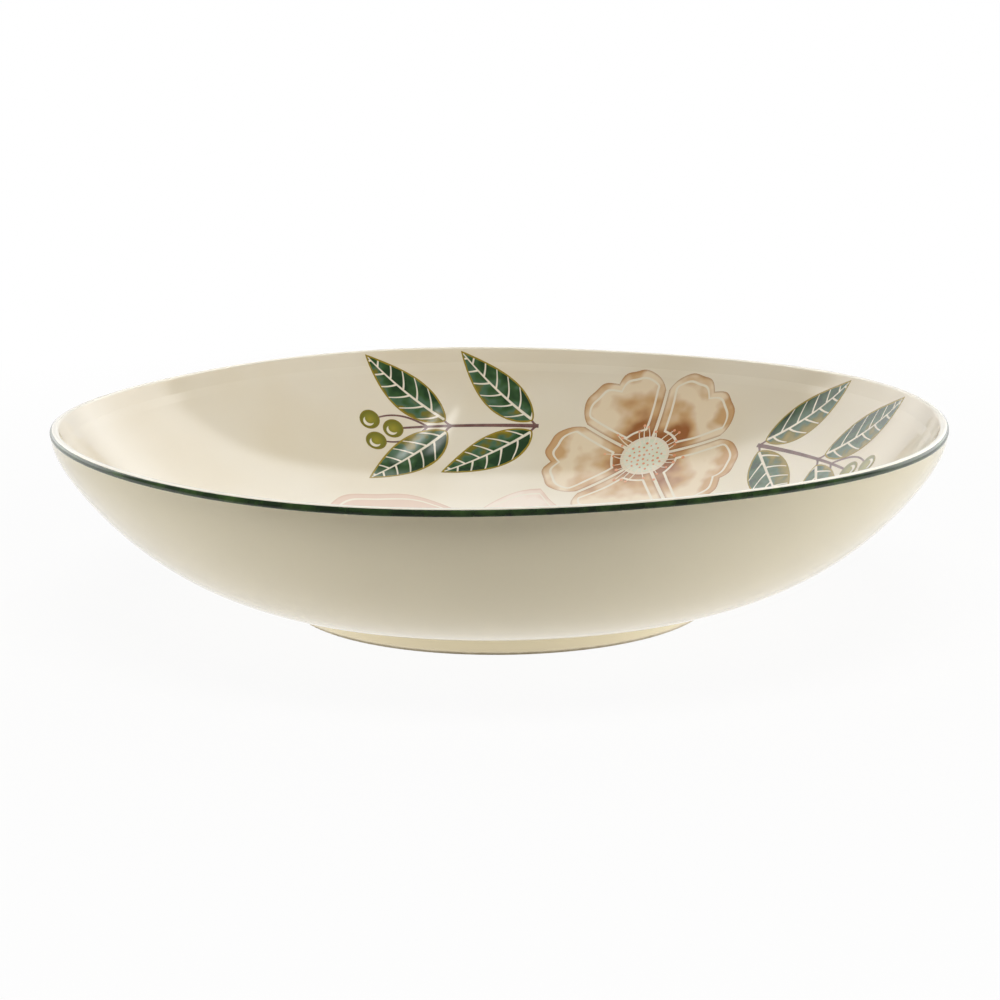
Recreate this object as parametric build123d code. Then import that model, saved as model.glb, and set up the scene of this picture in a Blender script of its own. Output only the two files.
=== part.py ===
"""A shallow porcelain serving bowl, in millimetres, +Z up, standing on Z = 0 with its axis on Z.

The bowl is a fired clay shell with a luted foot ring, three coats of glaze, a coloured line in
the glaze round the lip, and enamel blossoms, leaves, stems and berries printed on the inside.
"""

from build123d import *
from math import asin, atan2, cos, hypot, pi, radians, sin, tan
import os

# ---- Driving dimensions, over the glaze unless they say otherwise ----
rim_diameter = 305.0
bowl_height = 66.0
lip_thickness = 3.2  # the lip is a full round of this thickness
floor_thickness = 4.6
well_radius = 65.0  # the flat of the well, where both sides of the wall start level
foot_height = 6.1  # from the table to the underside of the floor
foot_contact_radius = 72.6  # outer edge of the bare resting face
foot_contact_width = 3.6
foot_outer_lean = 24.0  # degrees from upright
foot_inner_lean = 12.0
foot_edge_radius = 0.6
glaze_thickness = 0.25
glaze_wipe_height = 1.4  # the foot is wiped clean of glaze below this
enamel_thickness = 0.15  # printed colour that stands on the glaze

# The painted line on the outer shoulder of the lip, sunk in the glaze and a little proud of it.
line_top_angle = 48.0  # degrees up the round of the lip from its middle
line_bottom_angle = 32.0  # degrees down it, just past where the round meets the wall
line_pride = 0.1

# The printed decoration, drawn flat: a reach is a distance along the glaze from the bowl's centre.
rim_margin = 4.0  # bare glaze between the decoration and the lip
motif_gap = 3.0  # bare glaze between one motif and the next
first_blossom_bearing = 62.0  # degrees
blossom_count = 3
first_blossom_radius = 42.0
blossom_taper = 6.0  # how much smaller each blossom is than the one before
petals_per_blossom = 5
heart_share = 0.21  # a blossom's heart, as a share of its radius
petal_gap = 1.4
petal_notch = 0.07  # share of a petal's length that the middle of its tip dips in
petal_shoulder = 0.24  # share of a petal's length that its tip falls away to its sides
well_heart_radius = 16.0
leaf_pairs = 2  # on each sprig
leaf_length = 44.0
leaf_width = 17.0
leaf_angle = 38.0  # degrees between a leaf and its stem
leaf_stalk = 2.6  # from the middle of the stem to the start of a leaf
stem_width = 1.6
stem_tail = 17.0  # bare stem between the last pair of leaves and the berries
berry_radius = 4.4

# ---- Sizes worked out from them ----
lip_radius = lip_thickness / 2
lip_middle = (rim_diameter / 2 - lip_radius, bowl_height - lip_radius)
floor_top = foot_height + floor_thickness

# Each side of the wall is one arc, level where it leaves the flat of the well and tangent to the
# round of the lip. Both arcs have their centres straight above the edge of the well.
wall_run = lip_middle[0] - well_radius
outer_rise = lip_middle[1] - foot_height
inner_rise = lip_middle[1] - floor_top
outer_arc = (wall_run**2 + outer_rise**2 - lip_radius**2) / (2 * (outer_rise - lip_radius))
inner_arc = (wall_run**2 + inner_rise**2 - lip_radius**2) / (2 * (inner_rise + lip_radius))
outer_centre = (well_radius, foot_height + outer_arc)
inner_centre = (well_radius, floor_top + inner_arc)
outer_sweep = atan2(wall_run, outer_centre[1] - lip_middle[1])
inner_sweep = atan2(wall_run, inner_centre[1] - lip_middle[1])

# Reaches of the decoration: the blossoms and the stems' outer leaves come up to one margin.
rim_reach = well_radius + inner_arc * inner_sweep
blossom_radii = [first_blossom_radius - blossom_taper * n for n in range(blossom_count)]
blossom_reach = rim_reach - rim_margin - first_blossom_radius
leaf_spread = leaf_stalk + leaf_length * sin(radians(leaf_angle))
stem_reach = rim_reach - rim_margin - leaf_spread
well_petal_reach = stem_reach - leaf_spread - motif_gap

# Stations along a sprig, from the start of its stem. The step between pairs of leaves is longer
# than on a straight stem, because the inner leaves lean together where the stem bends.
straight_step = (leaf_width + motif_gap) / sin(radians(leaf_angle))
leaf_step = straight_step * stem_reach / (stem_reach - leaf_spread / 2)
leaf_stations = [leaf_stalk + leaf_step * n for n in range(leaf_pairs)]
stem_length = leaf_stations[-1] + stem_tail
berry_step = 2 * berry_radius + motif_gap / 2
first_berry = stem_length + motif_gap / 2 + berry_radius
last_berries = first_berry + berry_step * cos(pi / 6)
leaf_run = leaf_length * cos(radians(leaf_angle)) * stem_reach / (stem_reach - leaf_spread)
leaf_end = leaf_stations[-1] + leaf_run  # where the inner leaves' tips come to
sprig_length = max(last_berries + berry_radius, leaf_end)


# ---- Half sections, drawn flat with the radius along X and the height along Y ----
def swing(centre, radius, angle):
    """The point on a circle at an angle from straight down, turning outwards."""
    return centre[0] + radius * sin(angle), centre[1] - radius * cos(angle)


def arc_between(centre, radius, start, end):
    """An arc of a circle between two angles from straight down."""
    return ThreePointArc(*(swing(centre, radius, a) for a in (start, (start + end) / 2, end)))


def polygon(*points):
    """A face with straight sides."""
    return make_face([Polyline(*points, close=True)])


def shell_section(grow):
    """The clay shell's half section, with its whole skin moved outwards by grow."""
    skin = grow - glaze_thickness
    under = foot_height - skin
    top = floor_top + skin
    return make_face(
        [
            Line((0, under), (well_radius, under)),
            arc_between(outer_centre, outer_arc + skin, 0, outer_sweep),
            arc_between(lip_middle, lip_radius + skin, outer_sweep, inner_sweep + pi),
            arc_between(inner_centre, inner_arc - skin, inner_sweep, 0),
            Line((well_radius, top), (0, top)),
            Line((0, top), (0, under)),
        ]
    )


def foot_section(grow, bottom):
    """The foot's half section from a height up into the floor, with its sides moved by grow."""
    inner_slope = tan(radians(foot_inner_lean))
    outer_slope = tan(radians(foot_outer_lean))
    inner = foot_contact_radius - foot_contact_width - grow / cos(radians(foot_inner_lean))
    outer = foot_contact_radius + grow / cos(radians(foot_outer_lean))
    top = foot_height + floor_thickness / 2
    return polygon(
        (inner - bottom * inner_slope, bottom),
        (outer + bottom * outer_slope, bottom),
        (outer + top * outer_slope, top),
        (inner - top * inner_slope, top),
    )


def line_window():
    """The wedge of the half plane, from the middle of the lip outwards, that the line takes up."""
    angles = pi / 2 - radians(line_bottom_angle), pi / 2 + radians(line_top_angle)
    return polygon(lip_middle, *(swing(lip_middle, lip_thickness, angle) for angle in angles))


def spin(section):
    """A half section stood up on the undecorated side and turned once round the bowl's axis."""
    upright = Plane((0, 0, 0), x_dir=(-1, 0, 0), z_dir=(0, 1, 0))
    return revolve(upright * section, Axis.Z)


# ---- Clay ----
def bowl_body():
    """The shell of fired clay: a flat well and an arched wall up to the lip."""
    return spin(shell_section(0))


def foot_ring():
    """The ring luted under the wall, with a flat resting face between two rounded edges."""
    ring = spin(foot_section(0, 0) - shell_section(0))
    resting_edges = ring.edges().filter_by(GeomType.CIRCLE).group_by(Axis.Z)[0]
    return fillet(resting_edges, foot_edge_radius)


# ---- Glaze ----
def coats():
    """The inner, outer and base coats, parted by the painted line and by the foot."""
    coated = shell_section(glaze_thickness) + foot_section(glaze_thickness, glaze_wipe_height)
    coat = coated - shell_section(0) - foot_section(0, 0) - line_window()
    base, outer, inner = coat.faces().sort_by(lambda face: face.bounding_box().max.Y)
    return {"inner_glaze": spin(inner), "outer_glaze": spin(outer), "base_glaze": spin(base)}


def rim_line():
    """The painted line, one round band of colour over the outer side of the lip."""
    disc = Pos(*lip_middle) * Circle(lip_radius + line_pride)
    return spin((disc & line_window()) - shell_section(0))


# ---- Printed decoration ----
def press(x, y):
    """Where a point of the flat drawing lands on the glaze, seen from above."""
    reach, bearing = hypot(x, y), atan2(y, x)
    if reach > well_radius:
        reach = well_radius + inner_arc * sin((reach - well_radius) / inner_arc)
    return reach * cos(bearing), reach * sin(bearing)


class Place:
    """A spot of the flat drawing at a reach and a bearing, and the way that its motif points."""

    def __init__(self, reach, bearing, heading=0.0):
        self.x = reach * cos(bearing)
        self.y = reach * sin(bearing)
        self.heading = heading

    def press(self, along, across):
        """Where a point of the motif lands, from its way along and across its own heading."""
        x = self.x + along * cos(self.heading) - across * sin(self.heading)
        y = self.y + along * sin(self.heading) + across * cos(self.heading)
        return press(x, y)


def enamel_sheet():
    """A coat of enamel over the whole inside, from which each printed shape is cut."""
    top = floor_top + enamel_thickness
    arc = inner_arc - enamel_thickness
    return spin(
        make_face(
            [
                Line((0, floor_top), (well_radius, floor_top)),
                arc_between(inner_centre, inner_arc, 0, inner_sweep),
                Line(
                    swing(inner_centre, inner_arc, inner_sweep),
                    swing(inner_centre, arc, inner_sweep),
                ),
                arc_between(inner_centre, arc, inner_sweep, 0),
                Line((well_radius, top), (0, top)),
                Line((0, top), (0, floor_top)),
            ]
        )
    )


sheet = enamel_sheet()


def stamp(*edges):
    """An upright column inside a closed outline seen from above."""
    return extrude(make_face(edges), bowl_height, dir=(0, 0, 1))


def printed(*edges):
    """The enamel inside a closed outline seen from above."""
    return sheet & stamp(*edges)


def disc_outline(place, radius):
    """A circle of the flat drawing, as it lands."""
    turns = [n * pi / 4 for n in range(8)]
    points = [place.press(radius * cos(turn), radius * sin(turn)) for turn in turns]
    return Spline(*points, periodic=True)


def petal(place, heart, radius, turn):
    """One petal, between straight sides that leave an even gap to its neighbours.

    Its tip runs over the radius with a notch in its middle and falls away to both sides.
    """

    def point(reach, share):
        angle = turn + share * (pi / petals_per_blossom - asin(petal_gap / 2 / reach))
        return place.press(reach * cos(angle), reach * sin(angle))

    def tip(share):
        dip = petal_notch * max(0, 1 - abs(share) / 0.3) ** 2
        return point(radius * (1 - dip - petal_shoulder * share**4), share)

    start = heart + petal_gap
    end = radius * (1 - petal_shoulder)
    tip_shares = [n / 5 for n in range(-5, 6)]
    reaches = [start, (start + end) / 2, end]
    return printed(
        Spline(*[tip(share) for share in tip_shares]),
        Spline(*[point(reach, 1) for reach in reaches]),
        Spline(*[point(start, share) for share in (-1, 0, 1)]),
        Spline(*[point(reach, -1) for reach in reaches]),
    )


def blossom_petals(place, heart, radius):
    """A ring of petals round a heart, the first one pointing along the place's heading."""
    step = 2 * pi / petals_per_blossom
    return [petal(place, heart, radius, step * n) for n in range(petals_per_blossom)]


def leaf(place):
    """A lance-shaped leaf that starts at its place and points along its heading."""

    def edge(side):
        shares = [0, 0.12, 0.3, 0.5, 0.75, 1]
        return [place.press(leaf_length * t, side * leaf_half_width(t)) for t in shares]

    return printed(Spline(*edge(1)), Spline(*edge(-1)))


def leaf_half_width(share):
    """Half a leaf's width at a share of its length: widest before its middle, a point at its end."""
    return leaf_width / 2 * sin(pi * share**0.75) ** 0.9 if 0 < share < 1 else 0


class Sprig:
    """A stem that runs round the wall beside a blossom, with leaves, and berries at its end."""

    def __init__(self, start, direction):
        self.start = start
        self.direction = direction

    def bearing(self, station):
        """The bearing at a distance along the stem."""
        return self.start + self.direction * station / stem_reach

    def place(self, station, aside=0.0, turn=0.0):
        """A spot beside the stem, aside towards the lip, that points along it but for a turn."""
        bearing = self.bearing(station)
        heading = bearing + self.direction * (pi / 2 - turn)
        return Place(stem_reach + aside, bearing, heading)

    def leaves(self):
        """A pair of leaves at each station."""
        turn = radians(leaf_angle)
        return [
            leaf(self.place(station, side * leaf_stalk, side * turn))
            for station in leaf_stations
            for side in (1, -1)
        ]

    def stem(self):
        """The stem, a narrow strip round the wall."""
        stations = [0, stem_length / 2, stem_length]
        inner, outer = (
            [self.place(station, aside).press(0, 0) for station in stations]
            for aside in (-stem_width / 2, stem_width / 2)
        )
        return printed(
            ThreePointArc(*inner),
            Line(inner[-1], outer[-1]),
            ThreePointArc(*reversed(outer)),
            Line(outer[0], inner[0]),
        )

    def berries(self):
        """Three berries beyond the end of the stem, the first one on its line."""
        spots = [(first_berry, 0), (last_berries, berry_step / 2), (last_berries, -berry_step / 2)]
        return [printed(disc_outline(self.place(*spot), berry_radius)) for spot in spots]

    def nodes(self, name):
        """The sprig's solids by node."""
        return {
            f"{name}_leaves": self.leaves(),
            f"{name}_stem": [self.stem()],
            f"{name}_berries": self.berries(),
        }


def blossom_angle(radius):
    """The angle at the bowl's centre from a blossom's middle to a gap beyond its edge."""
    return asin((radius + motif_gap) / blossom_reach)


def blossom_bearings():
    """The bearings of the blossoms, each one a sprig further round than the one before."""
    bearings = [radians(first_blossom_bearing)]
    for before, after in zip(blossom_radii, blossom_radii[1:]):
        step = blossom_angle(before) + sprig_length / stem_reach + blossom_angle(after)
        bearings.append(bearings[-1] - step)
    return bearings


def garland():
    """The blossoms round the wall, with a sprig before the first one and after each.

    Returns the solids by node, and the columns that keep the blossoms' ground clear.
    """
    bearings = blossom_bearings()
    nodes = Sprig(bearings[0] + blossom_angle(blossom_radii[0]), 1).nodes("sprig_1")
    columns = []
    for n, (bearing, radius) in enumerate(zip(bearings, blossom_radii), start=1):
        place = Place(blossom_reach, bearing, bearing + n * pi / petals_per_blossom)
        heart = radius * heart_share
        nodes[f"blossom_{n}_petals"] = blossom_petals(place, heart, radius)
        nodes[f"blossom_{n}_heart"] = [printed(disc_outline(place, heart))]
        columns.append(stamp(disc_outline(place, radius + motif_gap / 2)))
        nodes.update(Sprig(bearing - blossom_angle(radius), -1).nodes(f"sprig_{n + 1}"))
    return nodes, columns


def decoration():
    """Every printed node by name. The garland's blossoms lie over the petals in the well."""
    nodes, columns = garland()
    centre = Place(0, 0, radians(first_blossom_bearing))
    petals = blossom_petals(centre, well_heart_radius, well_petal_reach)
    for column in columns:
        petals = [petal - column for petal in petals]
    nodes["well_blossom_petals"] = petals
    nodes["well_blossom_heart"] = [printed(disc_outline(centre, well_heart_radius))]
    return {name: Compound(children=pieces) for name, pieces in nodes.items()}


nodes = {"bowl_body": bowl_body(), "foot_ring": foot_ring(), "rim_line": rim_line()}
nodes.update(coats())
nodes.update(decoration())

os.makedirs("parts", exist_ok=True)
for name, shape in nodes.items():
    export_step(shape, f"parts/{name}.step")
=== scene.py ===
"""The looks of a shallow porcelain serving bowl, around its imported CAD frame.

Shapes are worked out in millimetres in the bowl's own frame, with +Z up and the origin on the table
below its middle, and go into Blender in metres. The bowl's skins are profiles turned round the axis.
Its decoration is drawn flat, as on a printed transfer, and pressed on to the inside by one function.
"""

import logging
from dataclasses import dataclass, field
from enum import Enum
from math import cos, hypot, pi, radians, sin

import bpy
import numpy as np
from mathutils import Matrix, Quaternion, Vector


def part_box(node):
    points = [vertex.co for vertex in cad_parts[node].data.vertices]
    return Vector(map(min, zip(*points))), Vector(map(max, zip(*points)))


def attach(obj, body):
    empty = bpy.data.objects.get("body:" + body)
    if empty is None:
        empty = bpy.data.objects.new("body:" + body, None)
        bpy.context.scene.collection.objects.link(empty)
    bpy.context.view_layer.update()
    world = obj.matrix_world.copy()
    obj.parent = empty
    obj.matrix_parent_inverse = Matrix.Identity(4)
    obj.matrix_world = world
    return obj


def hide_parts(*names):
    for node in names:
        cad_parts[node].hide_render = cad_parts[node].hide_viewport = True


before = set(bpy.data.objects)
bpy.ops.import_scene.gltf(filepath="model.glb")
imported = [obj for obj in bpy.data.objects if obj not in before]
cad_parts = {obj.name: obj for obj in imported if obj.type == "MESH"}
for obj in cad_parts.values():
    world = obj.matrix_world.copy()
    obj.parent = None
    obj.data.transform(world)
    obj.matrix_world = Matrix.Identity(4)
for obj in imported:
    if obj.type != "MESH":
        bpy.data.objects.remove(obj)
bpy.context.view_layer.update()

Array = np.ndarray
Tree, Socket = bpy.types.NodeTree, bpy.types.NodeSocket
MM = 0.001  # metres in a millimetre
SEED = 7
SHARP = radians(40)  # a fold of more than this is shaded as an edge
INK = 0.03  # millimetres from layer to layer of the print, and down to its back, which is sunk in the glaze
WHITE = "#FFFFFF"
log = logging.getLogger("serving_bowl")


class Slot(Enum):
    """The record's material slots."""

    CLAY = "porcelain"
    GLAZE = "cream_glaze"
    GREEN = "green_enamel"
    TAN = "tan_enamel"
    BLUSH = "blush_enamel"
    HEART = "heart_enamel"
    LEAF = "leaf_enamel"
    STEM = "stem_enamel"
    BERRY = "berry_enamel"


# ---- Surfaces ----
@dataclass
class Solid:
    """A closed skin: points in millimetres, faces by point number, and values at the points."""

    points: Array
    quads: Array
    triangles: Array = field(default_factory=lambda: np.empty((0, 3), int))
    values: dict[str, Array] = field(default_factory=dict)

    def facing_out(self) -> "Solid":
        """The same solid with its faces outwards: all are turned if the volume inside is negative.

        Returns:
            This same solid.
        """
        corners = np.vstack([self.quads[:, :3], self.quads[:, [0, 2, 3]], self.triangles])
        a, b, c = (self.points[corners[:, n]] for n in range(3))
        if np.einsum("ij,ij->", a, np.cross(b, c)) < 0:
            self.quads, self.triangles = self.quads[:, ::-1], self.triangles[:, ::-1]
        return self

    @staticmethod
    def joined(solids: list["Solid"]) -> "Solid":
        """Several solids as one mesh of separate shells."""
        firsts = np.cumsum([0] + [len(solid.points) for solid in solids[:-1]])
        return Solid(
            np.vstack([solid.points for solid in solids]),
            np.vstack([solid.quads + first for solid, first in zip(solids, firsts)]),
            np.vstack([solid.triangles + first for solid, first in zip(solids, firsts)]),
            {
                name: np.concatenate([solid.values[name] for solid in solids])
                for name in solids[0].values
            },
        )


def grid_faces(rows: int, columns: int, wrap_rows: bool = False, wrap_columns: bool = False) -> Array:
    """Quads over a grid of points numbered row by row.

    Args:
        rows: How many rows of points there are.
        columns: How many points are in a row.
        wrap_rows: Whether the last row joins the first.
        wrap_columns: Whether each row is a ring.

    Returns:
        Four point numbers a face.
    """
    row = np.arange(rows if wrap_rows else rows - 1)[:, None]
    column = np.arange(columns if wrap_columns else columns - 1)[None, :]
    next_row, next_column = (row + 1) % rows, (column + 1) % columns
    corners = [
        row * columns + column,
        row * columns + next_column,
        next_row * columns + next_column,
        next_row * columns + column,
    ]
    return np.stack(corners, axis=-1).reshape(-1, 4)


def make_piece(
    name: str, solid: Solid, material: bpy.types.Material, slot: Slot, replaced: tuple[str, ...] = ()
) -> bpy.types.Object:
    """Puts a solid into Blender as a piece of the bowl.

    Args:
        name: The piece's name.
        solid: Its skin, in millimetres.
        material: Its finish.
        slot: The record's slot for that finish. It is not used.
        replaced: The CAD nodes that it stands for.

    Returns:
        The new object, riding on the bowl's one body.
    """
    mesh = bpy.data.meshes.new(name)
    faces = solid.quads.tolist() + solid.triangles.tolist()
    mesh.from_pydata((solid.points * MM).tolist(), [], faces)
    mesh.polygons.foreach_set("use_smooth", np.ones(len(mesh.polygons), bool))
    mesh.set_sharp_from_angle(angle=SHARP)
    for key, values in solid.values.items():
        mesh.attributes.new(key, "FLOAT", "POINT").data.foreach_set("value", values.astype(np.float32))
    mesh.materials.append(material)
    piece = bpy.data.objects.new(name, mesh)
    bpy.context.scene.collection.objects.link(piece)
    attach(piece, "root")
    if replaced:
        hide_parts(*replaced)
    log.info("%s: %d points, %d faces", name, len(solid.points), len(faces))
    return piece


# ---- The bowl's shape ----
@dataclass(frozen=True)
class WallArc:
    """One side of the wall in half section: an arc that starts level at the well's edge."""

    centre: Array
    radius: float
    sweep: float  # the angle that it turns through, up to the lip


@dataclass(frozen=True)
class BowlShape:
    """The bowl's sizes over its glaze, in millimetres, and the surfaces that they give."""

    rim_radius: float
    height: float
    lip_thickness: float = 3.2
    floor_thickness: float = 4.6
    well_radius: float = 65.0
    foot_height: float = 6.1
    foot_contact_radius: float = 72.6
    foot_contact_width: float = 3.6
    foot_outer_lean: float = radians(24.0)
    foot_inner_lean: float = radians(12.0)
    glaze: float = 0.25
    glaze_wipe_height: float = 1.4
    line_pride: float = 0.1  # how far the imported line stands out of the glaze
    fullness: float = 1.3  # how far the throwing has left the wall proud of its arc under the lip
    fullness_depth: float = 9.0  # and how far under the lip that is most
    lean: float = -0.33  # how far the firing has moved the rim up from true, in waves round it
    three_waves: float = -0.27
    four_waves: float = 0.66

    @classmethod
    def from_frame(cls) -> "BowlShape":
        """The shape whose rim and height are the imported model's."""
        rim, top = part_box("rim_line")[1][0] / MM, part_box("inner_glaze")[1][2] / MM
        return cls(rim_radius=round(rim - cls.line_pride, 1), height=round(top, 1))

    @property
    def lip_radius(self) -> float:
        """The lip is a full round."""
        return self.lip_thickness / 2

    @property
    def lip_middle(self) -> Array:
        """The middle of the lip's round, as a radius and a height."""
        return np.array([self.rim_radius - self.lip_radius, self.height - self.lip_radius])

    @property
    def floor_top(self) -> float:
        """The height of the well."""
        return self.foot_height + self.floor_thickness

    def wall_side(self, start_height: float, side: int) -> WallArc:
        """One side of the wall, level at the well's edge and tangent to the lip.

        For a rise h to the lip's middle and a run w, its radius is (w² + h² - lip²) / 2 (h + side · lip).

        Args:
            start_height: Its height at the well's edge.
            side: 1 for the inner side and -1 for the outer one.

        Returns:
            Its arc.
        """
        across, rise = self.lip_middle - (self.well_radius, start_height)
        radius = (across**2 + rise**2 - self.lip_radius**2) / (2 * (rise + side * self.lip_radius))
        centre = np.array([self.well_radius, start_height + radius])
        return WallArc(centre, radius, np.arctan2(across, centre[1] - self.lip_middle[1]))

    @property
    def inner(self) -> WallArc:
        """The wall's inner side."""
        return self.wall_side(self.floor_top, 1)

    @property
    def outer(self) -> WallArc:
        """The wall's outer side, without its fullness."""
        return self.wall_side(self.foot_height, -1)

    def outer_side(self, depth: float, angles: Array) -> Array:
        """Half section points of the wall's outer side, a depth inside the glaze.

        They lie on the outer arc, moved out by fullness · f e^(1 - f), where f is the way down from
        the lip over fullness_depth.

        Args:
            depth: How far inside the glaze the points are.
            angles: Where they are on the arc, from straight down.

        Returns:
            Radii and heights, in the last axis.
        """
        arc = self.outer
        fall = (arc.sweep - angles) * arc.radius / self.fullness_depth
        return swing(arc.centre, arc.radius - depth + self.fullness * fall * np.exp(1 - fall), angles)

    @property
    def rim_reach(self) -> float:
        """How far it is along the inside from the middle of the well to the lip."""
        return self.well_radius + self.inner.radius * self.inner.sweep

    def stand(self, profile: Array, bearing: Array) -> Array:
        """Profile points turned to their bearings, with the fired rim's waves.

        The waves are lean · cos b + three_waves · sin 3b + four_waves · sin 4b at the rim, times the
        square of the way out from the well.

        Args:
            profile: Radii and heights, in its last axis.
            bearing: The angle of each point from +X.

        Returns:
            Points in space.
        """
        radius, height, bearing = np.broadcast_arrays(profile[..., 0], profile[..., 1], bearing)
        share = np.clip((radius - self.well_radius) / (self.rim_radius - self.well_radius), 0, 1)
        rise = self.lean * np.cos(bearing) + self.three_waves * np.sin(3 * bearing)
        rise = rise + self.four_waves * np.sin(4 * bearing)
        return np.stack([radius * np.cos(bearing), radius * np.sin(bearing), height + rise * share**2], -1)

    def press(self, flat: Array, lift: float) -> Array:
        """Where points of the flat drawing land on the inside.

        Up to the well's edge a point keeps its distance from the axis. Beyond it, the rest of the
        distance is laid along the inner arc.

        Args:
            flat: Points of the drawing, x and y in the last axis.
            lift: How far above the glaze they lie.

        Returns:
            Points in space.
        """
        reach = np.hypot(flat[..., 0], flat[..., 1])
        angle = np.maximum(reach - self.well_radius, 0) / self.inner.radius
        arc = self.inner.radius - lift
        radius = np.minimum(reach, self.well_radius) + arc * np.sin(angle)
        height = self.inner.centre[1] - arc * np.cos(angle)
        return self.stand(np.stack([radius, height], -1), np.arctan2(flat[..., 1], flat[..., 0]))


def swing(centre: Array, radius: Array | float, angles: Array) -> Array:
    """Points of a half section on an arc, at angles from straight down, turning outwards."""
    return np.stack([centre[0] + radius * np.sin(angles), centre[1] - radius * np.cos(angles)], -1)


def run(start: tuple[float, float], end: tuple[float, float], count: int) -> Array:
    """Points of a half section on a straight line, without its last one."""
    return np.linspace(start, end, count, endpoint=False)


def turned(shape: BowlShape, profile: Array, segments: int) -> Solid:
    """A closed skin from a profile that starts and ends on the axis, turned round it.

    Args:
        shape: The bowl, which gives the turned points their waves.
        profile: Radii and heights in order.
        segments: How many points are in each ring.

    Returns:
        The skin, with one point for each pole.
    """
    bearing = 2 * pi * np.arange(segments) / segments
    rings = shape.stand(profile[1:-1, None, :], bearing[None, :]).reshape(-1, 3)
    poles = np.array([[0, 0, profile[0, 1]], [0, 0, profile[-1, 1]]])
    first, last, column = 2, 2 + len(rings) - segments, np.arange(segments)
    following = (column + 1) % segments
    start_fan = np.stack([np.zeros(segments, int), first + following, first + column], -1)
    end_fan = np.stack([np.ones(segments, int), last + column, last + following], -1)
    quads = grid_faces(len(profile) - 2, segments, wrap_columns=True) + first
    return Solid(np.vstack([poles, rings]), quads, np.vstack([start_fan, end_fan])).facing_out()


def turned_ring(shape: BowlShape, profile: Array, segments: int) -> Solid:
    """A closed skin from a closed profile that stays off the axis, turned round it.

    Args:
        shape: The bowl, which gives the turned points their waves.
        profile: Radii and heights in order.
        segments: How many points are in each ring.

    Returns:
        The skin.
    """
    bearing = 2 * pi * np.arange(segments) / segments
    points = shape.stand(profile[:, None, :], bearing[None, :]).reshape(-1, 3)
    return Solid(points, grid_faces(len(profile), segments, True, True)).facing_out()


# ---- Node trees ----
def linear(code: str) -> tuple[float, float, float, float]:
    """An sRGB colour such as #EBE5D6 as linear red, green, blue and alpha.

    Args:
        code: A hash and six hex digits.

    Returns:
        Four numbers from 0 to 1.
    """
    shares = np.array([int(code[n : n + 2], 16) for n in (1, 3, 5)]) / 255
    curved = np.where(shares <= 0.04045, shares / 12.92, ((shares + 0.055) / 1.055) ** 2.4)
    return (*curved.tolist(), 1.0)


def add(
    tree: Tree,
    kind: str,
    inputs: dict | None = None,
    out: str | None = None,
    stops: tuple[tuple[float, str], ...] = (),
    **settings,
) -> Socket:
    """Adds a node to a tree.

    Args:
        tree: The node tree.
        kind: The node's type, without its ShaderNode prefix.
        inputs: What each input gets, by name or number: a constant, a colour such as #EBE5D6, or the
            socket that feeds it.
        out: The output that is wanted, if it isn't the first one in use.
        stops: The places and colours of its ramp.
        settings: The node's other settings.

    Returns:
        The output.
    """
    node = tree.nodes.new("ShaderNode" + kind)
    for name, value in settings.items():
        setattr(node, name, value)
    for key, value in (inputs or {}).items():
        if isinstance(value, Socket):
            tree.links.new(value, node.inputs[key])
        else:
            node.inputs[key].default_value = linear(value) if isinstance(value, str) else value
    for place, code in stops:
        node.color_ramp.elements.new(place).color = linear(code)
    if stops:  # the black and the white that a new ramp starts with
        node.color_ramp.elements.remove(node.color_ramp.elements[0])
        node.color_ramp.elements.remove(node.color_ramp.elements[-1])
    return node.outputs[out] if out else next(socket for socket in node.outputs if socket.enabled)


# ---- Finishes ----
@dataclass(frozen=True)
class Finish:
    """A fired surface. Its gloss and its faint unevenness are the glaze's, so a highlight runs on
    from the bare glaze over the print."""

    name: str
    roughness: float = 0.07
    ior: float = 1.6
    ripple_length: float = 24.0  # millimetres from one soft swell of the glaze to the next
    ripple_height: float = 0.05
    dimple_length: float = 3.0  # the orange peel of a sprayed glaze
    dimple_height: float = 0.0012

    def material(self) -> bpy.types.Material:
        """The finish as a Blender material.

        Returns:
            A new material of the finish's name.
        """
        made = bpy.data.materials.new(self.name)
        made.use_nodes = True
        tree = made.node_tree
        surface = tree.nodes["Principled BSDF"].inputs
        place = add(tree, "TexCoord", out="Object")
        surface["Roughness"].default_value = self.roughness
        surface["IOR"].default_value = self.ior
        tree.links.new(self.relief(tree, place), surface["Normal"])
        tree.links.new(self.colour(tree, place), surface["Base Color"])
        return made

    def relief(self, tree: Tree, place: Socket) -> Socket:
        """The normal, bumped by the ripples and then by the dimples.

        Args:
            tree: The nodes to add to.
            place: The spot on the piece, in Object coordinates.

        Returns:
            The bumped normal.
        """
        under = {}
        for length, height in (
            (self.ripple_length, self.ripple_height),
            (self.dimple_length, self.dimple_height),
        ):
            noise = {"Vector": place, "Scale": 1 / (length * MM), "Detail": 0.0}
            swell = {"Height": add(tree, "TexNoise", noise), "Distance": height * MM}
            under = {"Normal": add(tree, "Bump", {**swell, **under})}
        return under["Normal"]

    def mottle(self, tree: Tree, place: Socket, length: float, detail: float) -> Socket:
        """Noise from 0 to 1 with patches of a length in millimetres."""
        noise = {"Vector": place, "Scale": 1 / (length * MM), "Detail": detail, "Roughness": 0.6}
        return add(tree, "TexNoise", noise)

    def over(self, tree: Tree, share: Socket, under: Socket, colour: str) -> Socket:
        """A colour laid over another by a share."""
        return add(tree, "Mix", {"Factor": share, "A": under, "B": colour}, data_type="RGBA")

    def colour(self, tree: Tree, place: Socket) -> Socket:
        """The base colour."""
        raise NotImplementedError


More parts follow.
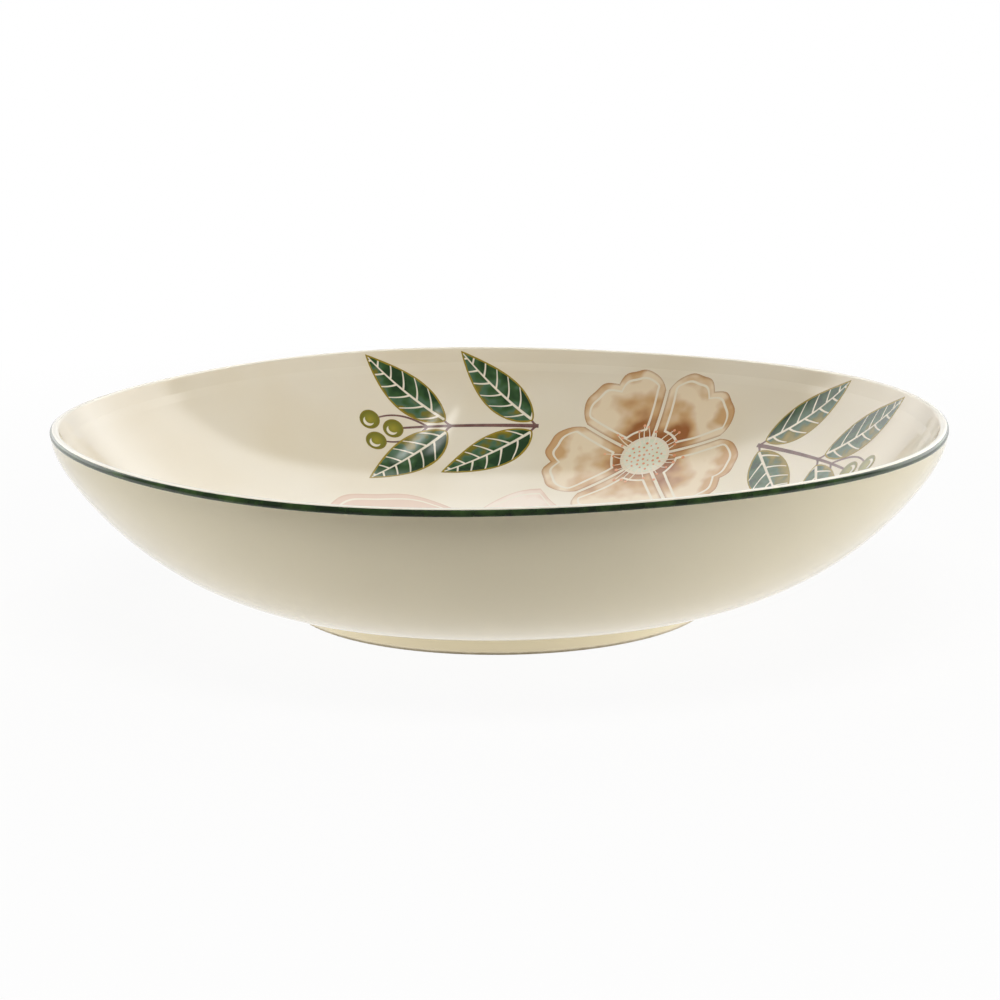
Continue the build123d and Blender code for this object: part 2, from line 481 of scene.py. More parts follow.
@dataclass(frozen=True)
class Mottled(Finish):
    """Two close colours in soft patches. By itself it is a plain printed enamel, uneven as ink is."""

    main: str = "#6B4A45"
    patch: str = "#85655C"
    patch_length: float = 4.0
    patch_detail: float = 2.0
    spread: tuple[float, float] = (0.35, 0.7)  # the noise up to and from which each colour is full

    def colour(self, tree: Tree, place: Socket) -> Socket:
        """The main colour, and patches of the other.

        Args:
            tree: The nodes to add to.
            place: The spot on the piece, in Object coordinates.

        Returns:
            The base colour.
        """
        patches = self.mottle(tree, place, self.patch_length, self.patch_detail)
        stops = tuple(zip(self.spread, (self.main, self.patch)))
        return add(tree, "ValToRGB", {"Fac": patches}, stops=stops)


@dataclass(frozen=True)
class CreamGlaze(Mottled):
    """Cream glaze over white porcelain: even, warm, and a shade deeper where it pooled.

    It is painted paler on the up-facing top of the lip, as a painted highlight, and painted a little
    darker and yellower where it faces down, as painted shade."""

    main: str = "#EBE2CD"
    patch: str = "#E6DBC2"
    patch_length: float = 40.0
    patch_detail: float = 1.0
    spread: tuple[float, float] = (0.35, 0.65)
    # painted shade: the glaze that faces down is painted darker and yellower than the rest
    painted_down_shade: str = "#E9DFC2"
    side_slope: float = 0.1  # the normal's Z, up and down, between which the painted shade on down-facing glaze blends in
    # painted highlight: a paler cream on the up-facing top of the lip
    painted_lip_highlight: str = "#F0E9D8"
    lip_bottom: float = 63.0  # millimetres from the table, under the lip's lowest wave
    lip_slope: tuple[float, float] = (0.6, 0.95)  # the normal's Z between which the painted lip highlight starts

    def colour(self, tree: Tree, place: Socket) -> Socket:
        """Cream, with painted shade where it faces down and a painted highlight on top of the lip.

        Args:
            tree: The nodes to add to.
            place: The spot on the piece, in Object coordinates.

        Returns:
            The base colour.
        """
        cream = super().colour(tree, place)
        # painted shade: darker, yellower cream where the normal faces down
        facing = add(tree, "SeparateXYZ", {"Vector": add(tree, "TexCoord", out="Normal")}, out="Z")
        turn = {"Value": facing, "From Min": self.side_slope, "From Max": -self.side_slope}
        cream = self.over(tree, add(tree, "MapRange", turn), cream, self.painted_down_shade)
        # painted highlight: paler cream where the lip's top faces up
        height = add(tree, "SeparateXYZ", {"Vector": place}, out="Z")
        high = add(tree, "Math", {0: height, 1: self.lip_bottom * MM}, operation="GREATER_THAN")
        slope = {"Value": facing, "From Min": self.lip_slope[0], "From Max": self.lip_slope[1]}
        share = add(tree, "MapRange", {**slope, "To Max": high})
        return self.over(tree, share, cream, self.painted_lip_highlight)


@dataclass(frozen=True)
class BareClay(Mottled):
    """Fired porcelain without glaze: matt, chalky and fine grained, a little grey from handling."""

    roughness: float = 0.8
    dimple_length: float = 0.5
    dimple_height: float = 0.01
    main: str = "#E9E1D0"
    patch: str = "#CFC5B0"
    patch_length: float = 5.0
    patch_detail: float = 6.0
    spread: tuple[float, float] = (0.45, 0.7)


@dataclass(frozen=True)
class BrushedLine(Mottled):
    """Deep green enamel banded on by brush on a turning wheel, a little duller than the glaze, and
    thinner where the brush ran dry."""

    roughness: float = 0.2
    main: str = "#142B0A"
    patch: str = "#3D5A24"
    patch_length: float = 9.0
    patch_detail: float = 3.0
    spread: tuple[float, float] = (0.4, 0.75)


@dataclass(frozen=True)
class Print(Finish):
    """A printed enamel, whose bare lines show the glaze under it."""

    ground: str = CreamGlaze.main
    softness: float = 0.12  # millimetres over which the ink runs at a line's edge

    def read(self, tree: Tree, *names: str) -> tuple[Socket, ...]:
        """The values that a drawing carries at its points, such as the way in from its edge."""
        return tuple(add(tree, "Attribute", out="Fac", attribute_name=name) for name in names)

    def stroke(self, tree: Tree, off: Socket, half_width: Socket | float) -> Socket:
        """1 on a line and 0 off it, from the distance to its middle.

        Args:
            tree: The nodes to add to.
            off: How far off the line's middle the surface is, in millimetres.
            half_width: Half the line's width.

        Returns:
            The line's share.
        """
        inside = add(tree, "Math", {0: half_width, 1: off}, operation="SUBTRACT")
        run_out = {"Value": inside, "From Min": -self.softness, "From Max": self.softness}
        return add(tree, "MapRange", run_out, interpolation_type="SMOOTHSTEP")


@dataclass(frozen=True)
class PetalWash(Print):
    """Printed like watercolour: two tints run into each other, the colour dries darker along the
    petal's edge and at its foot, and a bare line follows the edge inside it."""

    pale: str = "#EAD8B8"
    tint: str = "#CDA574"
    deep: str = "#9C6336"
    edge_width: float = 1.1
    edge_share: float = 0.6
    line_inset: float = 3.6
    line_width: float = 1.0
    patch_length: float = 17.0
    patch_drift: float = 1.5  # how far the patches carry the wash along the petal, in petal lengths
    side_lean: float = 0.012  # and how far its sides do, at most, for each millimetre across
    waver_length: float = 11.0  # the bare line wavers over this length
    waver: float = 1.0

    def colour(self, tree: Tree, place: Socket) -> Socket:
        """The wash from the petal's foot to its tip, then its darker edge, then the bare line.

        Args:
            tree: The nodes to add to.
            place: The spot on the piece, in Object coordinates.

        Returns:
            The base colour.
        """
        along, across, margin, tone = self.read(tree, "along", "across", "margin", "tone")
        patches = self.mottle(tree, place, self.patch_length, 2.5)
        drift = {0: patches, 1: self.patch_drift, 2: -self.patch_drift / 2}
        shift = add(tree, "Math", drift, operation="MULTIPLY_ADD")
        lean = add(tree, "Math", {0: across, 1: tone}, operation="MULTIPLY")
        lean = add(tree, "Math", {0: lean, 1: self.side_lean, 2: shift}, operation="MULTIPLY_ADD")
        depth = add(tree, "Math", {0: along, 1: lean})
        stops = (
            (0.02, self.deep), (0.26, self.tint), (0.55, self.pale), (0.78, self.pale), (0.98, self.tint)
        )
        wash = add(tree, "ValToRGB", {"Fac": depth}, stops=stops)
        rise = {"Value": margin, "From Max": self.edge_width, "To Min": self.edge_share, "To Max": 0.0}
        edged = self.over(tree, add(tree, "MapRange", rise), wash, self.deep)
        waver = {0: self.mottle(tree, place, self.waver_length, 1.0), 1: self.waver, 2: margin}
        wavered = add(tree, "Math", waver, operation="MULTIPLY_ADD")
        middle = self.line_inset + self.waver / 2
        off = add(tree, "Math", {0: wavered, 1: middle}, operation="SUBTRACT")
        off = add(tree, "Math", {0: off}, operation="ABSOLUTE")
        return self.over(tree, self.stroke(tree, off, self.line_width / 2), edged, self.ground)


@dataclass(frozen=True)
class LeafPrint(Print):
    """Printed leaf: deep green that runs into teal and olive, cut by bare veins that bend towards
    the tip, with an uneven dull gold edge."""

    deep: str = "#1F3D1C"
    green: str = "#35562B"
    teal: str = "#4B6B50"
    olive: str = "#6F6B22"
    gold: str = "#9A8429"
    side_drift: float = 0.022  # how far the greens run on for each millimetre across
    tone_drift: float = 0.05  # and from leaf to leaf
    edge_width: float = 0.75
    edge_waver: float = 0.7
    edge_waver_length: float = 4.0
    vein_step: float = 7.2
    vein_width: float = 1.0
    vein_taper: float = 0.045  # how much of its width a vein loses for each millimetre out
    vein_slant: float = 0.5  # how far a side vein runs towards the tip for each way out
    vein_bend: float = 0.05  # and how much more for each millimetre out
    vein_waver: float = 2.6
    vein_waver_length: float = 14.0
    rib_width: float = 1.25
    rib_taper: float = 0.014
    patch_length: float = 10.0

    def colour(self, tree: Tree, place: Socket) -> Socket:
        """The greens, then the midrib and side veins, then the gold edge.

        Args:
            tree: The nodes to add to.
            place: The spot on the piece, in Object coordinates.

        Returns:
            The base colour.
        """
        along, across, margin, tone = self.read(tree, "along", "across", "margin", "tone")
        patches = self.mottle(tree, place, self.patch_length, 2.0)
        side = {0: across, 1: self.side_drift, 2: patches}
        side = {0: tone, 1: self.tone_drift, 2: add(tree, "Math", side, operation="MULTIPLY_ADD")}
        side = add(tree, "Math", side, operation="MULTIPLY_ADD")
        stops = (
            (0.36, self.deep), (0.47, self.green), (0.56, self.teal), (0.63, self.olive), (0.74, self.gold)
        )
        fill = add(tree, "ValToRGB", {"Fac": side}, stops=stops)
        veined = self.over(tree, self.veins(tree, place, along, across), fill, self.ground)
        waver = {0: self.mottle(tree, place, self.edge_waver_length, 1.0), 1: self.edge_waver, 2: margin}
        inner = add(tree, "Math", waver, operation="MULTIPLY_ADD")
        edge = self.stroke(tree, inner, self.edge_width + self.edge_waver / 2)
        return self.over(tree, edge, veined, self.gold)

    def veins(self, tree: Tree, place: Socket, along: Socket, across: Socket) -> Socket:
        """1 on the midrib and the side veins.

        A side vein keeps along - (slant + bend · out) out, so it leaves the midrib and bends towards
        the tip. The two sides' veins are half a step apart.

        Args:
            tree: The nodes to add to.
            place: The spot on the piece, in Object coordinates.
            along: The way along the leaf from its foot, in millimetres.
            across: The way across it from its midrib.

        Returns:
            The veins' share.
        """
        out = add(tree, "Math", {0: across}, operation="ABSOLUTE")
        slope = {0: out, 1: -self.vein_bend, 2: -self.vein_slant}
        slope = add(tree, "Math", slope, operation="MULTIPLY_ADD")
        level = add(tree, "Math", {0: out, 1: slope, 2: along}, operation="MULTIPLY_ADD")
        waver = {0: self.mottle(tree, place, self.vein_waver_length, 0.0), 1: self.vein_waver, 2: level}
        level = add(tree, "Math", waver, operation="MULTIPLY_ADD")
        step = {0: add(tree, "Math", {0: across}, operation="SIGN"), 1: self.vein_step / 4, 2: level}
        level = add(tree, "Math", step, operation="MULTIPLY_ADD")
        off = add(tree, "Math", {0: level, 1: self.vein_step / 2}, operation="PINGPONG")
        strokes = []
        for way, line, taper, full in (
            (out, off, self.vein_taper, self.vein_width), (along, out, self.rib_taper, self.rib_width)
        ):
            width = {0: way, 1: -taper * full / 2, 2: full / 2}
            strokes.append(self.stroke(tree, line, add(tree, "Math", width, operation="MULTIPLY_ADD")))
        return add(tree, "Math", {0: strokes[0], 1: strokes[1]}, operation="MAXIMUM")


@dataclass(frozen=True)
class BerryPrint(Print):
    """Printed berry: olive, darker towards its dull gold edge, with a bare crescent of light."""

    radius: float = 4.4
    light: str = "#97902F"
    olive: str = "#6C6B22"
    gold: str = "#8A7A2A"
    edge_width: float = 0.5
    round_share: float = 0.52  # of the radius, in the two rounds that make the crescent
    round_places: tuple[float, float] = (0.16, -0.06)  # and how far off the middle they are each way

    def colour(self, tree: Tree, place: Socket) -> Socket:
        """Rings of olive by the way in from the edge, then the crescent and the gold edge.

        The crescent is the part of one round that a second one, set further in, leaves uncovered.

        Args:
            tree: The nodes to add to.
            place: The spot on the piece, in Object coordinates. It is not used.

        Returns:
            The base colour.
        """
        along, across, margin = self.read(tree, "along", "across", "margin")
        depth = add(tree, "Math", {0: margin, 1: self.radius}, operation="DIVIDE")
        fill = add(tree, "ValToRGB", {"Fac": depth}, stops=((0.05, self.olive), (0.9, self.light)))
        spot = add(tree, "CombineXYZ", {0: along, 1: across})
        rounds = []
        for share in self.round_places:
            middle = (self.radius * share, self.radius * share, 0.0)
            off = add(tree, "VectorMath", {0: spot, 1: middle}, operation="DISTANCE")
            rounds.append(self.stroke(tree, off, self.radius * self.round_share))
        crescent = {0: rounds[0], 1: rounds[1]}
        crescent = add(tree, "Math", crescent, operation="SUBTRACT", use_clamp=True)
        lit = self.over(tree, crescent, fill, self.ground)
        return self.over(tree, self.stroke(tree, margin, self.edge_width), lit, self.gold)


# ---- The bowl ----
@dataclass(frozen=True)
class Wares:
    """The fired clay and its three coats of glaze."""

    shape: BowlShape
    segments: int = 384
    join_fillet: float = 1.6  # glaze pooled where the foot meets the wall

    def clay_profile(self) -> Array:
        """The clay shell's half section, one glaze thickness inside the coats.

        Returns:
            Radii and heights in order.
        """
        shape, depth = self.shape, self.shape.glaze
        wall = np.linspace(0, 1, 40)
        lip = np.linspace(shape.outer.sweep, shape.inner.sweep + pi, 16)
        return np.vstack(
            [
                [[0, shape.foot_height + depth]],
                shape.outer_side(depth, wall * shape.outer.sweep),
                swing(shape.lip_middle, shape.lip_radius - depth, lip)[1:],
                swing(shape.inner.centre, shape.inner.radius + depth, wall[::-1] * shape.inner.sweep)[1:],
                [[0, shape.floor_top - depth]],
            ]
        )

    def inner_profile(self) -> Array:
        """The inner coat's half section: the well, the wall, over the lip and back underneath.

        Returns:
            Radii and heights in order.
        """
        shape, depth = self.shape, self.shape.glaze
        wall = np.linspace(0, shape.inner.sweep, 84)
        lip = np.linspace(shape.inner.sweep + pi, pi / 2, 20)
        return np.vstack(
            [
                run((0, shape.floor_top), (shape.well_radius, shape.floor_top), 16),
                swing(shape.inner.centre, shape.inner.radius, wall),
                swing(shape.lip_middle, shape.lip_radius, lip)[1:],
                swing(shape.lip_middle, shape.lip_radius - depth, lip[::4][::-1]),
                swing(shape.inner.centre, shape.inner.radius + depth, wall[::6][::-1])[1:],
                [[0, shape.floor_top - depth]],
            ]
        )

    def foot_side(self, side: int, depth: float) -> tuple[Array, Array, Array]:
        """One straight side of the foot: its point on the table, its way up and its way out.

        Args:
            side: 1 for the side away from the axis and -1 for the side towards it.
            depth: How far the glaze stands off the clay.

        Returns:
            The point, and the two ways with a length of 1.
        """
        shape = self.shape
        lean = shape.foot_outer_lean if side > 0 else shape.foot_inner_lean
        contact = shape.foot_contact_radius - (0 if side > 0 else shape.foot_contact_width)
        way, out = np.array([side * sin(lean), cos(lean)]), np.array([side * cos(lean), -sin(lean)])
        return np.array([contact, 0.0]) + out * depth, way, out

    def climb(self, side: int, depth: float, radius: float) -> Array:
        """The middle of a circle that touches the foot's side and what lies over it.

        Outside the foot that is the wall's arc: the middle moves up the side's line, offset by the
        radius, until it is both radii from the arc's own middle, which is the first root of a
        quadratic. Inside the foot it is the level base.

        Args:
            side: 1 for the side away from the axis and -1 for the side towards it.
            depth: How far the glaze stands off the clay.
            radius: The circle's radius.

        Returns:
            A radius and a height.
        """
        shape = self.shape
        base, way, out = self.foot_side(side, depth)
        start = base + out * radius
        if side < 0:
            top = shape.foot_height + shape.glaze - depth - radius
            return start + way * (top - start[1]) / way[1]
        gap = start - shape.outer.centre
        reach = shape.outer.radius - shape.glaze + depth + radius
        half = gap @ way
        return start - way * (half + np.sqrt(half**2 - gap @ gap + reach**2))

    def foot_coat(self, side: int) -> tuple[Array, Array]:
        """The glaze on one side of the foot.

        Args:
            side: 1 for the side away from the axis and -1 for the side towards it.

        Returns:
            Its outer points from what lies over the foot, through the pooled fillet, down the side and
            round the bead where it was wiped off; and its clay points from there back up.
        """
        shape, radius, depth = self.shape, self.join_fillet, self.shape.glaze
        middle = self.climb(side, depth, radius)
        base, way, out = self.foot_side(side, depth)
        up = np.array([0.0, 1.0])
        if side > 0:
            up = shape.outer.centre - middle
            up = up / np.linalg.norm(up)
        blend = np.linspace(0, 1, 9)[:, None]
        spokes = up * (1 - blend) - out * blend
        fillet = middle + radius * spokes / np.linalg.norm(spokes, axis=1, keepdims=True)
        bottom = base + way * shape.glaze_wipe_height / way[1]
        turn = np.linspace(0, pi, 7)[:, None]
        bead = bottom - out * depth / 2 + depth / 2 * (out * np.cos(turn) - way * np.sin(turn))
        side_run = run(fillet[-1], bead[0], 5)[1:]
        return np.vstack([fillet, side_run, bead]), self.climb(side, 0, 0)[None, :]

    def outer_profile(self) -> Array:
        """The outer coat's half section: from the middle of the lip down to the foot and back.

        Returns:
            Radii and heights in order.
        """
        shape, depth = self.shape, self.shape.glaze
        skin, root = self.foot_coat(1)
        centre = shape.outer.centre
        spans = [np.arctan2(point[0] - centre[0], centre[1] - point[1]) for point in (skin[0], root[0])]
        lip = np.linspace(pi / 2, shape.outer.sweep, 7)
        wall = np.linspace(shape.outer.sweep, spans[0], 80)
        clay = np.linspace(spans[1], shape.outer.sweep, 16)
        return np.vstack(
            [
                swing(shape.lip_middle, shape.lip_radius, lip),
                shape.outer_side(0, wall)[1:-1],
                skin,
                shape.outer_side(depth, clay),
                swing(shape.lip_middle, shape.lip_radius - depth, lip[::-1])[1:],
            ]
        )

    def base_profile(self) -> Array:
        """The base coat's half section: the hollow under the floor and the foot's inner side.

        Returns:
            Radii and heights in order.
        """
        shape = self.shape
        skin, root = self.foot_coat(-1)
        return np.vstack(
            [run((0, shape.foot_height), skin[0], 14), skin, root, [[0, shape.foot_height + shape.glaze]]]
        )

    def build(self) -> dict[str, Solid]:
        """The clay shell and the coats, by piece."""
        return {
            "clay_shell": turned(self.shape, self.clay_profile(), self.segments // 2),
            "inner_coat": turned(self.shape, self.inner_profile(), self.segments),
            "outer_coat": turned_ring(self.shape, self.outer_profile(), self.segments),
            "base_coat": turned(self.shape, self.base_profile(), self.segments // 2),
        }

    def dress(self, solids: dict[str, Solid]) -> None:
        """Gives each piece its finish and the CAD node that it stands for, and the foot its clay.

        Args:
            solids: What build made.
        """
        clay = BareClay("bare_porcelain").material()
        glaze = CreamGlaze("cream_glaze", lip_bottom=self.shape.height - 3.0).material()
        make_piece("clay_shell", solids["clay_shell"], clay, Slot.CLAY, ("bowl_body",))
        for side in ("inner", "outer", "base"):
            make_piece(f"{side}_coat", solids[f"{side}_coat"], glaze, Slot.GLAZE, (f"{side}_glaze",))
        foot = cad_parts["foot_ring"]
        foot.data.materials.clear()
        foot.data.materials.append(clay)


@dataclass(frozen=True)
class LipLine:
    """The green line banded round the outer side of the lip, with the wobble of a hand's brush."""

    shape: BowlShape
    top: float = radians(48.0)  # above the lip's middle
    bottom: float = radians(32.0)  # below it
    pride: float = 0.07
    bed: float = 0.15  # how deep it is sunk, out of sight
    wobble: float = 0.09  # millimetres that its edges stray
    segments: int = 720
    columns: int = 14

    def edge(self, bearing: Array, rng: np.random.Generator) -> Array:
        """How far an edge strays, as an angle on the lip: a sum of nine waves of falling height.

        Args:
            bearing: The angle of each point from +X.
            rng: Where its chance comes from.

        Returns:
            Angles, up or down the lip's round.
        """
        waves = np.arange(2, 11)[:, None]
        phases = rng.uniform(0, 2 * pi, waves.shape)
        heights = rng.normal(0, 1, waves.shape) / np.sqrt(waves)
        stray = (heights * np.sin(waves * bearing + phases)).sum(axis=0)
        return self.wobble / self.shape.lip_radius * stray

    def build(self) -> Solid:
        """A ring whose section is a low bead between the two edges, closed under the glaze.

        Returns:
            The line's skin.
        """
        rng = np.random.default_rng(SEED)
        bearing = 2 * pi * np.arange(self.segments) / self.segments
        low = pi / 2 - self.bottom + self.edge(bearing, rng)
        high = pi / 2 + self.top + self.edge(bearing, rng)
        share = np.linspace(0, 1, self.columns)[:, None]
        over = low + (high - low) * share
        lift = self.pride * np.sin(pi * share) ** 0.5
        centre, radius = self.shape.lip_middle, self.shape.lip_radius
        top = swing(centre, radius + lift, over)
        bed = swing(centre, radius - self.bed, over[::-1])
        points = self.shape.stand(np.vstack([top, bed]), bearing)
        faces = grid_faces(2 * self.columns, self.segments, wrap_rows=True, wrap_columns=True)
        return Solid(points.reshape(-1, 3), faces).facing_out()

    def dress(self, solid: Solid) -> None:
        """Paints the line."""
        paint = BrushedLine("green_line_enamel").material()
        make_piece("lip_line", solid, paint, Slot.GREEN, ("rim_line",))


# ---- The printed decoration ----
@dataclass
class Sheet:
    """A piece of the flat drawing: points, faces, its border in order, and values at its points."""

    flat: Array
    quads: Array
    border: Array
    triangles: Array = field(default_factory=lambda: np.empty((0, 3), int))
    values: dict[str, Array] = field(default_factory=dict)

    def printed(self, shape: BowlShape, lift: float) -> Solid:
        """The sheet as a thin closed film on the inside of the bowl.

        Args:
            shape: The bowl.
            lift: How far its face stands above the glaze.

        Returns:
            The film.
        """
        count, following = len(self.flat), np.roll(self.border, -1)
        sides = np.stack([following, self.border, self.border + count, following + count], -1)
        return Solid(
            np.vstack([shape.press(self.flat, lift), shape.press(self.flat, -INK)]),
            np.vstack([self.quads, self.quads[:, ::-1] + count, sides]),
            np.vstack([self.triangles, self.triangles[:, ::-1] + count]),
            {name: np.tile(values, 2) for name, values in self.values.items()},
        ).facing_out()


def grid_sheet(flat: Array, **values: Array) -> Sheet:
    """A sheet over a grid of flat points, with its values as grids of numbers.

    Args:
        flat: Points of the drawing in rows and columns, with x and y in the last axis.
        values: Numbers for the points, by name.

    Returns:
        The sheet.
    """
    rows, columns = flat.shape[:2]
    number = np.arange(rows * columns).reshape(rows, columns)
    border = np.concatenate(
        [number[0, :-1], number[:-1, -1], number[-1, :0:-1], number[:0:-1, 0]]
    )
    spread = {
        name: np.broadcast_to(grid, (rows, columns)).ravel() for name, grid in values.items()
    }
    return Sheet(flat.reshape(-1, 2), grid_faces(rows, columns), border, values=spread)


@dataclass(frozen=True)
class Place:
    """A spot of the flat drawing at a reach and a bearing, and the way that its motif points."""

    reach: float
    bearing: float
    heading: float = 0.0

    def flat(self, along: Array, across: Array) -> Array:
        """Flat points from their ways along and across the motif's own heading.

        Args:
            along: Ways along the heading.
            across: Ways to its left.

        Returns:
            Points of the drawing, with x and y in the last axis.
        """
        along, across = np.broadcast_arrays(along, across)
        x = self.reach * cos(self.bearing) + along * cos(self.heading) - across * sin(self.heading)
        y = self.reach * sin(self.bearing) + along * sin(self.heading) + across * cos(self.heading)
        return np.stack([x, y], -1)


def disc_sheet(place: Place, radius: float, rings: int, segments: int) -> Sheet:
    """A round sheet: rings about a middle point, with the way in from its edge as its margin.

    Args:
        place: Where its middle is.
        radius: Its radius.
        rings: How many rings of points it has.
        segments: How many points are in each ring.

    Returns:
        The sheet.
    """
    reach = radius * np.arange(1, rings + 1)[:, None] / rings
    angle = 2 * pi * np.arange(segments)[None, :] / segments
    along = np.concatenate([[0], (reach * np.cos(angle)).ravel()])
    across = np.concatenate([[0], (reach * np.sin(angle)).ravel()])
    column = np.arange(segments)
    following = (column + 1) % segments
    fan = np.stack([np.zeros(segments, int), 1 + column, 1 + following], -1)
    last = 1 + segments * (rings - 1)
    quads = grid_faces(rings, segments, wrap_columns=True)[:, [0, 3, 2, 1]] + 1
    numbers = {"along": along, "across": across, "margin": radius - np.hypot(along, across)}
    return Sheet(place.flat(along, across), quads, last + column, fan, numbers)


def ribbon(path: Array, width: Array, columns: int = 3) -> Sheet:
    """A strip along a path of flat points, square to it, with a width at each point.

    Args:
        path: Flat points in order.
        width: The strip's width at each of them, or everywhere.
        columns: How many points it has across.

    Returns:
        The sheet.
    """
    way = np.gradient(path, axis=0)
    way /= np.linalg.norm(way, axis=1, keepdims=True)
    out = np.stack([-way[:, 1], way[:, 0]], -1)
    share = np.linspace(-0.5, 0.5, columns)[None, :, None]
    return grid_sheet(path[:, None, :] + out[:, None, :] * share * np.reshape(width, (-1, 1, 1)))


def curve(start: Array, bend: Array, end: Array, count: int) -> Array:
    """Points on a curve that leaves its start towards the bend and comes to its end from there."""
    share = np.linspace(0, 1, count)[:, None]
    return (1 - share) ** 2 * start + 2 * share * (1 - share) * bend + share**2 * end


def layered(shape: BowlShape, layers: dict[str, list[Sheet]]) -> dict[str, Solid]:
    """Layers of print as films on the inside of the bowl, each a little above the one before."""
    return {
        layer: Solid.joined([sheet.printed(shape, INK * (level + 1)) for sheet in sheets])
        for level, (layer, sheets) in enumerate(layers.items())
    }


@dataclass(frozen=True)
class Blossom:
    """A printed blossom with five open petals round a heart of stamens, seen from the front."""

    name: str
    place: Place
    radius: float
    heart: float
    petals: int = 5
    gap: float = 1.4
    notch: float = 0.07  # this and the next three are shares of the radius or of half the petal's width
    notch_width: float = 0.3
    flutter: float = 0.008
    shoulder: float = 0.24
    rows: int = 44
    columns: int = 45
    filaments: int = 25
    filament_start: float = 0.8  # this and the next one are shares of the heart's radius
    filament_end: tuple[float, float] = (1.35, 2.0)
    filament_lean: float = 0.16
    filament_width: tuple[float, float] = (0.55, 0.3)
    tip_size: tuple[float, float] = (0.5, 0.75)  # the radius of the anthers at the filaments' ends
    anthers: int = 34
    anther_reach: float = 0.86  # the share of the heart that the other anthers cover
    anther_size: tuple[float, float] = (0.35, 0.6)
    shelters: tuple[tuple[Place, float], ...] = ()  # round grounds that its petals keep out of

    def petal(self, turn: float, rng: np.random.Generator) -> Sheet:
        """One petal on a grid of shares of the way out and across.

        Its tip runs over the radius, with a notch of (1 - |share| / notch_width)² in its middle, and falls
        away by share⁴ to both sides. Its sides leave an even gap: they lie asin(gap / 2 reach) inside
        the petal's fifth of the circle.

        Args:
            turn: The angle of its middle line from the blossom's heading.
            rng: Where its chance comes from.

        Returns:
            Its sheet, with the values that its wash reads.
        """
        depth, share = np.linspace(0, 1, self.rows)[:, None], np.linspace(-1, 1, self.columns)[None, :]
        dip = self.notch * np.clip(1 - abs(share) / self.notch_width, 0, 1) ** 2
        flutter = np.sin(5 * pi * share + rng.uniform(0, 2 * pi)) * (1 - share**2)
        tip = self.radius * (1 - dip + self.flutter * flutter - self.shoulder * share**4)
        tip = np.minimum(tip, self.shelter_limit(turn + share * pi / self.petals))
        start = self.heart + self.gap
        reach = start + (tip - start) * depth
        half = pi / self.petals - np.arcsin(self.gap / 2 / reach)
        angle = turn + share * half
        margin = np.minimum(np.minimum(tip - reach, reach - start), reach * half * (1 - abs(share)))
        return grid_sheet(
            self.place.flat(reach * np.cos(angle), reach * np.sin(angle)),
            along=(reach - start) / (self.radius - start),
            across=share * half * reach,
            margin=margin,
            tone=np.full((1, 1), rng.uniform(-1, 1)),
        )

    def shelter_limit(self, angle: Array) -> Array:
        """How far a ray from the blossom's middle runs before it enters a sheltered round.

        For a middle at distance d and angle a off the ray, d cos a - sqrt(r² - d² sin² a).

        Args:
            angle: The rays' angles from the blossom's heading.

        Returns:
            The lengths, which are infinite for a ray that enters none.
        """
        limit = np.full_like(angle, np.inf)
        for place, radius in self.shelters:
            off = place.bearing - self.place.heading - angle
            inside = radius**2 - (place.reach * np.sin(off)) ** 2
            hit = (inside > 0) & (np.cos(off) > 0)
            near = place.reach * np.cos(off) - np.sqrt(np.maximum(inside, 0))
            limit = np.where(hit, np.minimum(limit, near), limit)
        return limit

    def stamens(self, rng: np.random.Generator) -> tuple[list[Sheet], list[Sheet]]:
        """Fine filaments over the petals' feet, and the anthers at their ends and over the heart.

        Args:
            rng: Where its chance comes from.

        Returns:
            The filaments' sheets, and the anthers'.
        """
        filaments, anthers = [], []
        for n in range(self.filaments):
            angle = 2 * pi * (n + rng.uniform(-0.3, 0.3)) / self.filaments
            start, end = self.heart * self.filament_start, self.heart * rng.uniform(*self.filament_end)
            lean = rng.uniform(-self.filament_lean, self.filament_lean)
            ends = [
                self.place.flat(reach * cos(angle + turn), reach * sin(angle + turn))
                for reach, turn in ((start, 0), ((start + end) / 2, 0), (end, lean))
            ]
            filaments.append(ribbon(curve(*ends, count=9), np.linspace(*self.filament_width, 9), columns=2))
            spot = self.place.flat(end * cos(angle + lean), end * sin(angle + lean))
            anthers.append(self.dot(spot, rng.uniform(*self.tip_size)))
        golden = pi * (3 - 5**0.5)  # the turn that spreads them evenly, as in a daisy's heart
        for n in range(self.anthers):
            reach = self.heart * self.anther_reach * ((n + 0.5) / self.anthers) ** 0.5
            spot = self.place.flat(reach * cos(n * golden), reach * sin(n * golden))
            anthers.append(self.dot(spot, rng.uniform(*self.anther_size)))
        return filaments, anthers

    @staticmethod
    def dot(spot: Array, radius: float) -> Sheet:
        """A small round spot of ink."""
        place = Place(hypot(*spot), np.arctan2(spot[1], spot[0]))
        return disc_sheet(place, radius, 1, 12)

    def build(self, shape: BowlShape, rng: np.random.Generator) -> dict[str, Solid]:
        """The blossom's four layers of print, each a little above the one before.

        Args:
            shape: The bowl.
            rng: Where its chance comes from.

        Returns:
            The films, by layer.
        """
        step = 2 * pi / self.petals
        petals = [self.petal(step * n, rng) for n in range(self.petals)]
        filaments, anthers = self.stamens(rng)
        heart = disc_sheet(self.place, self.heart, 6, 72)
        layers = {"petals": petals, "heart": [heart], "filaments": filaments, "anthers": anthers}
        return layered(shape, layers)

